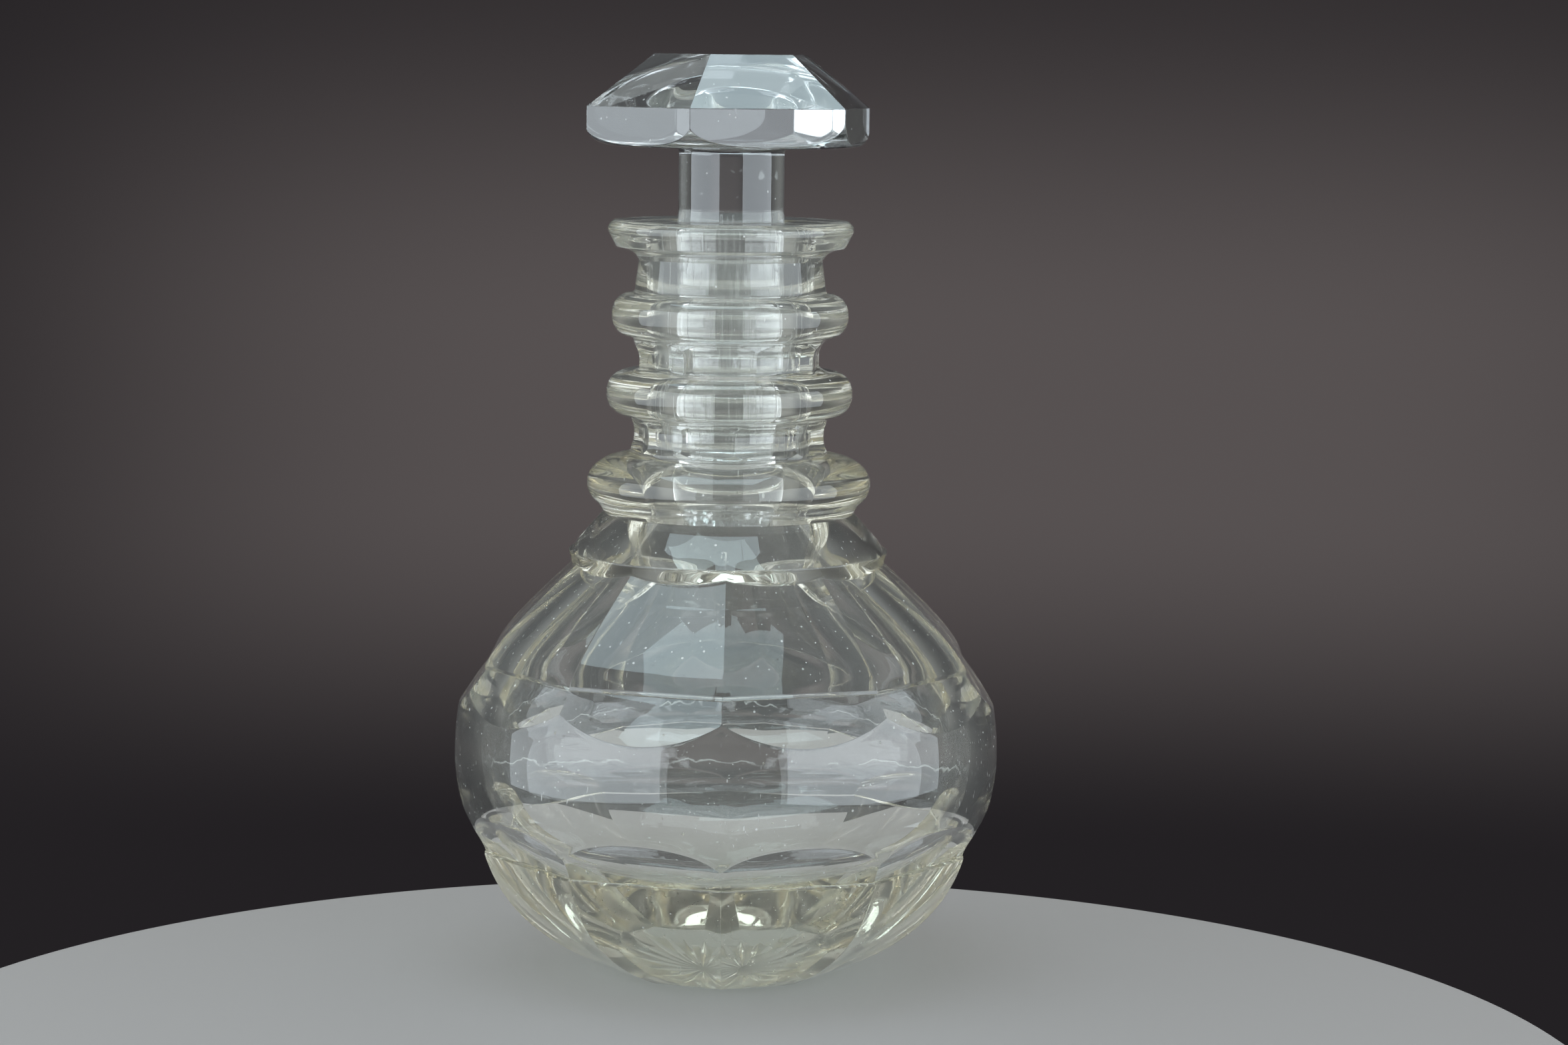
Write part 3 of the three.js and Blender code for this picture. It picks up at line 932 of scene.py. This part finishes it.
@dataclass(frozen=True)
class Glass:
    """Old lead glass: faintly tinted, gently wavy, with wear, specks and fine scratches.

    A cloud is how much of the glass a white haze hides.
    """

    name: str
    tint: Colour = (1.0, 1.0, 0.995, 1.0)
    depth_tint: Colour = (0.80, 0.70, 0.42, 1.0)
    depth_strength: float = 6.0
    shadow_tint: Colour = (0.83, 0.84, 0.83, 1.0)
    bend: float = 1.56
    gloss: float = 0.2
    gloss_bend: float = 1.5
    wave: float = 0.06
    wave_height: float = 0.0012
    waves: Noise = Noise(38.0, 1.5)
    patches: Noise = Noise(30.0, 3.0, (0.35, 0.70))
    wear: float = 1.0
    worn_roughness: float = 0.2
    worn_cloud: float = 0.6
    speck_scale: float = 430.0
    speck_size: float = 0.36
    speck_rarity: float = 0.45
    speck_edge: float = 0.05
    scratches: tuple[Noise, ...] = (
        Noise(span=(0.74, 0.82), turn=(0.5, 0.35, 0.0), stretch=(1500.0, 1300.0, 320.0)),
        Noise(span=(0.74, 0.82), turn=(-0.6, -0.7, 0.0), stretch=(1300.0, 1500.0, 300.0)),
    )
    cloud: float = 0.022
    cloud_least: float = 0.6
    cloud_colour: Colour = (0.74, 0.76, 0.74, 1.0)
    haze_least: float = 0.5
    foot_cloud: float = 0.05
    foot_height: float = 0.036
    rest_cloud: float = 0.08
    rest_height: Pair = (0.0009, 0.0018)
    neck_cloud: float = 0.035
    neck_height: Pair = (0.112, 0.128)
    ground: Pair = (0.125, 0.188)
    ground_radius: float = 0.0139
    ground_fade: Pair = (0.0006, 0.0001)
    ground_roughness: float = 0.07
    ground_least: float = 0.4
    ground_cloud: float = 0.011
    scoring: Noise = Noise(span=(0.60, 0.68), stretch=(1400.0, 1400.0, 60.0))
    scoring_height: float = 0.03
    scoring_cloud: float = 8.0
    tide: float = 0.0480
    tide_drift: float = 0.016
    tide_line: Pair = (0.0001, 0.0006)
    tide_depth: Pair = (-0.01, 0.02)
    tide_radius: Pair = (0.0618, 0.0620)
    tide_gaps: Pair = (0.3, 0.6)
    tide_strength: float = 0.55
    drift: Noise = Noise(60.0, 4.0)

    def build(self) -> bpy.types.Material:
        """Makes the material.

        Returns:
            The new material.
        """
        material = bpy.data.materials.new(self.name)
        material.use_nodes = True
        material.node_tree.nodes.clear()
        tree = Tree(material.node_tree)
        spot = Spot.of(tree)
        patches, scored = self.patches.on(spot), self.scoring.on(spot)
        in_bore = self._in_bore(spot)
        worn = self._worn(spot, patches) * (1 - in_bore)
        ground = in_bore * (self.ground_roughness * (self.ground_least + patches))
        relief = self.waves.on(spot) * self.wave + in_bore * scored * self.scoring_height
        bump = tree.node(
            "Bump",
            {"Strength": 1.0, "Distance": self.wave_height, "Height": relief},
            output="Normal",
        )
        clear = tree.node(
            "BsdfPrincipled",
            {
                "Base Color": self.tint,
                "Roughness": worn * self.worn_roughness + ground,
                "IOR": self.bend,
                "Transmission Weight": 1.0,
                "Coat Weight": self.gloss,
                "Coat Roughness": 0.0,
                "Coat IOR": self.gloss_bend,
                "Normal": bump,
            },
        )
        veil = self._haze(spot, patches) + worn * self.worn_cloud + self._tide_mark(spot)
        grey = self.haze_least * patches + self.scoring_cloud * scored + self.haze_least
        veil = veil + in_bore * self.ground_cloud * grey
        dull = tree.node("BsdfDiffuse", {"Color": self.cloud_colour})
        lit = tree.node("BsdfTransparent", {"Color": self.shadow_tint})
        surface = tree.blend(tree.ray(Ray.SHADOW), tree.blend(veil, clear, dull), lit)
        inside = tree.node(
            "VolumeAbsorption", {"Color": self.depth_tint, "Density": self.depth_strength}
        )
        tree.node("OutputMaterial", {"Surface": surface, "Volume": inside})
        return material

    def _in_bore(self, spot: Spot) -> Shade:
        """Is 1 on the ground bore or the ground peg, and 0 elsewhere."""
        low, high = self.ground
        along, outward = self.ground_fade
        level = spot.height.within(low, low + along)
        level = level * (1 - spot.height.within(high, high + along))
        return level * (1 - spot.out.within(self.ground_radius, self.ground_radius + outward))

    def _worn(self, spot: Spot, patches: Shade) -> Shade:
        """Is 1 on specks of dust and on scratches, which keep to some patches, and 0 elsewhere."""
        tree, pattern = spot.place.tree, {"Vector": spot.place, "Scale": self.speck_scale}
        cells = tree.node("TexVoronoi", pattern)
        chance, away = cells.also("Color", "Distance")
        size = (chance - self.speck_rarity) * self.speck_size
        speck = (size - away).within(0.0, self.speck_edge)
        first, second = (scratches.on(spot) for scratches in self.scratches)
        return (speck + (first + second) * patches) * self.wear

    def _haze(self, spot: Spot, patches: Shade) -> Shade:
        """How much a haze hides: a little everywhere, more at the foot, the rest and the neck."""
        foot = (1 - spot.height.within(0.0, self.foot_height)) * self.foot_cloud
        neck = spot.height.within(*self.neck_height) * self.neck_cloud
        rest = (1 - spot.height.within(*self.rest_height)) * self.rest_cloud
        everywhere = self.cloud * (self.cloud_least + patches)
        return everywhere + (foot + neck) * (self.haze_least + patches) + rest

    def _tide_mark(self, spot: Spot) -> Shade:
        """How much is hidden by the uneven line that sherry has left inside, round the back."""
        drift = self.drift.on(spot)
        away = abs(spot.height - self.tide - self.tide_drift * (drift - 0.5))
        line = (1 - away.within(*self.tide_line)) * spot.deep.within(*self.tide_depth)
        inside = 1 - spot.out.within(*self.tide_radius)
        return line * inside * drift.within(*self.tide_gaps) * self.tide_strength


def shade_evenly(mesh: bpy.types.Mesh) -> None:
    """Sets the corners' normals so that neither crowded nor slanting columns bend the light.

    On cut flats the larger faces count for more, which keeps the flats flat. On blown glass each
    face counts by one over its area, which is right for a curve with uneven steps.

    Args:
        mesh: the mesh, with sharp edges marked and cut corners named by the layer CUT.
    """

    def read(items: object, name: str, size: int, kind: type = float) -> Row:
        """All values of one property, as rows of the given size."""
        values = np.empty(len(items) * size, dtype=kind)
        items.foreach_get(name, values)
        return values.reshape(-1, size) if size > 1 else values

    corner = read(mesh.loops, "vertex_index", 1, int)
    face = np.repeat(np.arange(len(mesh.polygons)), read(mesh.polygons, "loop_total", 1, int))
    area = np.maximum(read(mesh.polygons, "area", 1), LEAST_AREA)[face]
    cut = read(mesh.attributes[CUT].data, "value", 1, int)[corner] > 0
    weight = np.where(cut, area, 1 / area)
    facing = read(mesh.polygons, "normal", 3)[face] * weight[:, None]
    normal = np.zeros((len(mesh.vertices), 3))
    np.add.at(normal, corner, facing)
    normal /= np.maximum(np.linalg.norm(normal, axis=1), LEAST_LENGTH)[:, None]
    ends = read(mesh.edges, "vertices", 2, int)
    keen = ends[read(mesh.attributes["sharp_edge"].data, "value", 1, bool)]
    normal[keen.ravel()] = 0.0
    mesh.normals_split_custom_set(normal[corner].tolist())


def dress(name: str, mesh: bpy.types.Mesh, finish: Glass) -> bpy.types.Object:
    """Makes an object of a mesh, shades it and gives it its glass.

    Args:
        name: the piece's name.
        mesh: its mesh, in place.
        finish: its glass.

    Returns:
        The piece.
    """
    piece = placed(name, mesh)
    mesh.shade_smooth()
    mesh.set_sharp_from_angle(angle=math.radians(SHARP_ANGLE))
    if CUT in mesh.attributes:
        shade_evenly(mesh)
    else:
        level = piece.modifiers.new("even_shading", "WEIGHTED_NORMAL")
        level.keep_sharp = True
    mesh.materials.append(finish.build())
    return piece


@dataclass
class Decanter:
    """Bulb, neck, rings and lip as one continuous piece of glass."""

    bulb: Bulb = field(default_factory=Bulb)
    neck: Neck = field(default_factory=Neck)
    hollow: Hollow = field(default_factory=Hollow)
    seeds: Seeds = field(default_factory=Seeds)
    finish: Glass = Glass("old_clear_glass")

    def build(self) -> bpy.types.Object:
        """Makes the piece.

        Returns:
            The glass, riding on its body.
        """
        skin = Skin()
        self.bulb.lay(skin)
        self.neck.lay(skin, self.bulb)
        self.hollow.lay(skin)
        mesh = skin.mesh("decanter_glass")
        self.seeds.add(mesh, self.bulb, self.hollow)
        piece = dress("decanter_glass", mesh, self.finish)
        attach(piece, "decanter")
        rings = ("shoulder_ring", "middle_neck_ring", "top_neck_ring")
        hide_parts("decanter_body", *rings, "pouring_lip")
        return piece


@dataclass
class Stopper:
    """Six sided mushroom head on a round shank, with a long ground peg."""

    peg_foot: tuple[Pair, ...] = (
        (0.0, 126.07), (6.375, 126.01), (11.75, 125.95),
        (11.95, 126.0), (12.63, 126.63), (12.75, 126.95),
    )
    peg: tuple[Pair, Pair] = ((12.75, 125.95), (13.25, 188.9))
    peg_rows: tuple[float, ...] = tuple(np.linspace(0.05, 1.0, 14))
    shank: tuple[Pair, ...] = (
        (13.27, 190.1), (13.15, 191.0), (13.13, 191.5), (13.15, 196.9), (13.15, 204.8),
    )
    fillet: tuple[Pair, ...] = ((13.15, 205.2), (13.15, 207.1), (14.45, 207.2))
    fillet_steps: int = 6
    underside: tuple[Pair, ...] = ((27.2, 207.2), (28.2, 207.22))
    head_foot: Pair = (28.2, 207.2)
    head: float = 37.4
    girdle_lift: float = 6.8
    girdle_steps: int = 14
    girdle_edge: float = 217.0
    top: float = 229.98
    fullness: float = 2.1
    flat_reach: float = 31.8
    table_reach: float = 17.1
    table_above: float = 220.0
    level: float = 0.999
    bearings: tuple[float, ...] = (-46, 16, 80, 137, 195, 254)
    segments: int = 180
    edge_angle: float = 18.0
    edge_clearance: float = 0.5
    worn: float = 0.16
    weld: float = 1e-4
    weld_cut: float = 0.02
    weld_bevel: float = 0.004
    finish: Glass = Glass(
        "stopper_clear_glass",
        tint=(0.995, 1.0, 1.0, 1.0),
        depth_tint=(0.66, 0.70, 0.66, 1.0),
        depth_strength=3.0,
        gloss=1.0,
        gloss_bend=1.62,
        ground=(0.125, 0.1905),
        wave=0.04,
        wear=0.7,
        cloud=0.004,
        ground_radius=0.0140,
        foot_cloud=0.0,
        rest_cloud=0.0,
        neck_cloud=0.0,
        tide_strength=0.0,
    )

    def outline(self) -> list[Pair]:
        """The stopper before its head is cut, from the peg's end up."""
        (foot, low), (rim, high) = self.peg
        points = list(self.peg_foot)
        points += [(foot + (rim - foot) * s, low + (high - low) * s) for s in self.peg_rows]
        points += [*self.shank, *curve(self.fillet, self.fillet_steps), *self.underside]
        foot, low = self.head_foot
        for step in range(1, self.girdle_steps + 1):
            angle = math.pi / 2 * step / self.girdle_steps
            share = math.sin(angle) ** (2 / self.fullness)
            lift = 1 - max(math.cos(angle), 0.0) ** (2 / self.fullness)
            points.append((foot + (self.head - foot) * share, low + self.girdle_lift * lift))
        points += [(self.head, self.girdle_edge + 1), (self.head, self.top), (0.0, self.top)]
        return points

    def _blank(self) -> bmesh.types.BMesh:
        """The uncut stopper, spun from its outline."""
        shape = bmesh.new()
        corners = [shape.verts.new((0, -radius, height)) for radius, height in self.outline()]
        for low, high in zip(corners, corners[1:]):
            shape.edges.new((low, high))
        spin(shape, self.segments)
        bmesh.ops.remove_doubles(shape, verts=shape.verts[:], dist=self.weld)
        return shape

    def _cut(self, shape: bmesh.types.BMesh, place: Vector, away: Vector) -> None:
        """Cuts one flat and closes it.

        Args:
            shape: the stopper.
            place: a point of the flat.
            away: the direction that it faces.
        """
        bmesh.ops.bisect_plane(
            shape,
            geom=shape.verts[:] + shape.edges[:] + shape.faces[:],
            dist=self.weld,
            plane_co=place,
            plane_no=away,
            clear_outer=True,
        )
        open_edges = [edge for edge in shape.edges if edge.is_boundary]
        bmesh.ops.holes_fill(shape, edges=open_edges, sides=0)

    def _is_keen(self, edge: bmesh.types.BMEdge) -> bool:
        """Says whether an edge is one of the head's arrises."""
        return (
            len(edge.link_faces) == 2
            and edge.calc_face_angle(0) > math.radians(self.edge_angle)
            and min(v.co.z for v in edge.verts) > self.head_foot[1] + self.edge_clearance
        )

    def mesh(self) -> bpy.types.Mesh:
        """Spins the blank, cuts its twelve flats and takes the edges off them.

        Returns:
            The stopper's mesh, in metres.
        """
        shape = self._blank()
        rise, run = self.top - self.girdle_edge, self.flat_reach - self.table_reach
        for bearing in self.bearings:
            turn = Matrix.Rotation(math.radians(bearing), 4, "Z")
            edge = turn @ Vector((0, -self.flat_reach, self.girdle_edge))
            self._cut(shape, edge, turn @ Vector((0, -1, 0)))
            self._cut(shape, edge, (turn @ Vector((0, -rise, run))).normalized())
        bmesh.ops.recalc_face_normals(shape, faces=shape.faces[:])
        high = [f for f in shape.faces if f.calc_center_median().z > self.table_above]
        bmesh.ops.dissolve_faces(shape, faces=[f for f in high if f.normal.z > self.level])
        in_order(shape)
        bmesh.ops.remove_doubles(shape, verts=shape.verts[:], dist=self.weld_cut)
        in_order(shape)
        bmesh.ops.bevel(
            shape,
            geom=[edge for edge in shape.edges if self._is_keen(edge)],
            offset=self.worn,
            offset_type="OFFSET",
            affect="EDGES",
            segments=3,
            profile=0.5,
            material=-1,
            clamp_overlap=False,
        )
        in_order(shape)
        weld(shape, self.weld_bevel)
        bmesh.ops.scale(shape, vec=(MM, MM, MM), verts=shape.verts[:])
        return finished(shape, "stopper_glass")

    def build(self) -> bpy.types.Object:
        """Makes the piece.

        Returns:
            The stopper, riding on its body.
        """
        piece = dress("stopper_glass", self.mesh(), self.finish)
        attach(piece, "stopper")
        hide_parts("stopper")
        return piece


# Studio


@dataclass(frozen=True)
class Softbox:
    """A large soft lamp beside or above the table.

    It shows in the glass as a reflection. The camera doesn't see it, neither past the glass nor
    straight through it. Where the glass mirrors it on the inside, the surroundings show it.
    """

    name: str
    place: Point
    aim: Point
    size: Pair
    power: float = 3.5
    colour: Point = (0.82, 0.92, 1.0)
    edge: float = 0.004
    steepest: float = 0.3

    def build(self) -> None:
        """Makes the lamp."""
        lamp = bpy.data.lights.new(self.name, "AREA")
        lamp.shape = "RECTANGLE"
        lamp.size, lamp.size_y = self.size
        lamp.energy = self.power
        lamp.color = self.colour
        holder = placed(self.name, lamp)
        holder.location = self.place
        towards = Vector(self.aim) - Vector(self.place)
        holder.rotation_euler = towards.to_track_quat("-Z", "Y").to_euler()
        holder.visible_camera = False
        holder.visible_transmission = False

    def radiance(self) -> Colour:
        """The lamp's colour times its brightness, as a reflection shows it."""
        level = self.power / (math.pi * self.size[0] * self.size[1])
        return (*(level * share for share in self.colour), 1.0)

    def outline(self, towards: list[Shade], middle: Vector) -> Shade:
        """Where the lamp stands among the directions round the object.

        Args:
            towards: the three parts of a direction.
            middle: the place that it is looked at from.

        Returns:
            1 in directions that meet the lamp and 0 elsewhere.
        """
        away = (Vector(self.place) - Vector(self.aim)).normalized()
        across = Vector((0, 0, 1)).cross(away)
        across = across.normalized() if across.length > self.steepest else Vector((1, 0, 0))
        centre = Vector(self.place) - middle

        def along(axis: Vector) -> Shade:
            """The direction's part along an axis."""
            return towards[0] * axis.x + towards[1] * axis.y + towards[2] * axis.z

        facing, shape = along(away), 1.0
        for axis, size in ((across, self.size[0]), (away.cross(across), self.size[1])):
            off = along(axis * centre.dot(away) - away * centre.dot(axis))
            reach = facing * (size / 2)
            for side in (reach - off, reach + off):
                shape = side.within(0.0, self.edge) * shape
        return shape


@dataclass
class Studio:
    """A plain pale table top in front of a dark wall with painted light on it, soft lamps and the
    camera.

    The surroundings change between directions, whose parts run from -1 to 1: side to the right,
    depth to the back and height upwards.
    """

    table_radius: float = 0.205
    table_depth: float = 0.03
    table_rim: float = 0.004
    table_segments: int = 192
    table_place: Point = (0.0, -0.100, -0.0153)
    table_colour: Colour = (0.35, 0.33, 0.32, 1.0)
    table_roughness: float = 0.7
    # Painted light on the wall: the wall's colour where the light falling on it is brightest, then
    # the heights, middle, ends and fade of that light.
    lit_wall_colour: Colour = (0.095, 0.083, 0.083, 1.0)
    shade_colour: Colour = (0.017, 0.015, 0.017, 1.0)
    wall_foot: Pair = (-0.205, -0.115)
    wall_head: Pair = (-0.075, 0.03)
    wall_middle: float = 0.05
    wall_ends: Pair = (0.005, 0.08)
    wall_light_fade: float = 0.8
    wall_depth: Pair = (0.4, 0.85)
    wall_top: Pair = (0.3, 0.7)
    wall_top_fade: float = 0.6
    room_colour: Colour = (0.22, 0.23, 0.22, 1.0)
    near_colour: Colour = (0.14, 0.15, 0.155, 1.0)
    near_depth: Pair = (0.6, 0.9)
    ceiling_colour: Colour = (0.22, 0.24, 0.25, 1.0)
    ceiling_height: Pair = (0.25, 0.9)
    floor_height: Pair = (-0.35, 0.05)
    fill_colour: Colour = (0.48, 0.465, 0.455, 1.0)
    middle: Point = (0.0, 0.0, 0.1)
    bounces: int = 28
    camera_place: Point = (0.014, -0.9445, 0.230)
    camera_pitch: float = 7.04
    camera_roll: float = 0.65
    focal_length: float = 86.96
    sensor_width: float = 36.0
    lamps: tuple[Softbox, ...] = (
        Softbox("left_softbox", (-0.542, -0.30, 0.205), (0.0, 0.0, 0.205), (0.90, 0.60)),
        Softbox("right_softbox", (0.542, -0.30, 0.205), (0.0, 0.0, 0.205), (0.90, 0.60)),
        Softbox(
            "top_softbox",
            (-0.1225, -0.11, 0.95),
            (-0.1225, -0.10, 0.0),
            (0.735, 0.58),
            colour=(0.72, 0.92, 1.0),
        ),
    )

    def _table(self) -> None:
        """Makes the table top."""
        shape = bmesh.new()
        bmesh.ops.create_cone(
            shape,
            cap_ends=True,
            segments=self.table_segments,
            radius1=self.table_radius,
            radius2=self.table_radius,
            depth=self.table_depth,
            matrix=Matrix.Translation(self.table_place),
        )
        bmesh.ops.bevel(
            shape,
            geom=[edge for edge in shape.edges if edge.calc_face_angle(0) > 1],
            offset=self.table_rim,
            affect="EDGES",
            segments=4,
            profile=0.5,
            material=-1,
        )
        mesh = finished(shape, "table_top")
        material = bpy.data.materials.new("pale_table")
        material.use_nodes = True
        shader = material.node_tree.nodes["Principled BSDF"]
        shader.inputs["Base Color"].default_value = self.table_colour
        shader.inputs["Roughness"].default_value = self.table_roughness
        mesh.materials.append(material)
        placed("table_top", mesh)

    def _wall(self, tree: Tree, side: Shade, height: Shade) -> Shade:
        """The dark wall behind the table, with painted light on it that is brightest level with the
        table, a little right of the middle, and fades to the sides and upwards.
        """
        aside = side - self.wall_middle
        # Painted light on the wall: it rises towards table level, then fades upwards and to both
        # sides.
        painted_light = height.within(*self.wall_foot)
        painted_light = painted_light * (1 - self.wall_light_fade * height.within(*self.wall_head))
        painted_light = painted_light * (1 - self.wall_light_fade * (aside * aside).within(*self.wall_ends))
        return tree.mixed(painted_light, self.shade_colour, self.lit_wall_colour)

    def _room(self, tree: Tree, depth: Shade, height: Shade) -> Shade:
        """The paler room to the sides, overhead and behind the camera."""
        near = (0 - depth).within(*self.near_depth)
        room = tree.mixed(near, self.room_colour, self.near_colour)
        room = tree.mixed(height.within(*self.ceiling_height), room, self.ceiling_colour)
        return tree.mixed(height.within(*self.floor_height), self.shade_colour, room)

    def _surroundings(self) -> None:
        """Makes what camera and glass see all round, and the soft fill light that it gives."""
        world = bpy.data.worlds.new("studio_wall")
        bpy.context.scene.world = world
        world.use_nodes = True
        world.node_tree.nodes.clear()
        tree = Tree(world.node_tree)
        towards = tree.node("TexCoord", output="Generated")
        towards = tree.node("SeparateXYZ", {0: towards}).also(*"XYZ")
        side, depth, height = towards
        behind = 1 - self.wall_top_fade * height.within(*self.wall_top)
        behind = depth.within(*self.wall_depth) * behind
        room, wall = self._room(tree, depth, height), self._wall(tree, side, height)
        around = tree.mixed(behind, room, wall)
        mirrored = tree.ray(Ray.PASSING) * tree.ray(Ray.MIRRORED).within(0.0, 1.0)
        for lamp in self.lamps:
            place = lamp.outline(towards, Vector(self.middle))
            around = tree.mixed(mirrored * place, around, lamp.radiance())
        seen = tree.ray(Ray.CAMERA) + tree.ray(Ray.GLOSSY) + tree.ray(Ray.PASSING)
        colour = tree.mixed(seen.within(0.0, 0.5), self.fill_colour, around)
        shown = tree.node("Background", {"Color": colour})
        tree.node("OutputWorld", {"Surface": shown})

    def _camera(self) -> None:
        """Sets the camera where the photograph was taken from."""
        lens = bpy.data.cameras.new("photo_camera")
        lens.lens = self.focal_length
        lens.sensor_width = self.sensor_width
        holder = placed("photo_camera", lens)
        holder.location = self.camera_place
        tilt = Matrix.Rotation(math.radians(90 - self.camera_pitch), 3, "X")
        roll = Matrix.Rotation(math.radians(self.camera_roll), 3, "Z")
        holder.rotation_euler = (tilt @ roll).to_euler()
        bpy.context.scene.camera = holder

    def build(self) -> None:
        """Makes camera, table, lamps and surroundings."""
        self._camera()
        self._table()
        self._surroundings()
        for lamp in self.lamps:
            lamp.build()
        scene = bpy.context.scene
        scene.view_settings.view_transform = "Standard"
        for kind in ("max", "transmission", "glossy", "transparent_max"):
            setattr(scene.cycles, kind + "_bounces", self.bounces)


def main() -> None:
    """Builds the studio and both pieces of glass, and reports each."""
    logging.basicConfig(level=logging.INFO, format="%(message)s")
    Studio().build()
    for part in (Decanter(), Stopper()):
        piece = part.build()
        LOG.info("%s: %d faces", piece.name, len(piece.data.polygons))


if __name__ == "__main__":
    main()
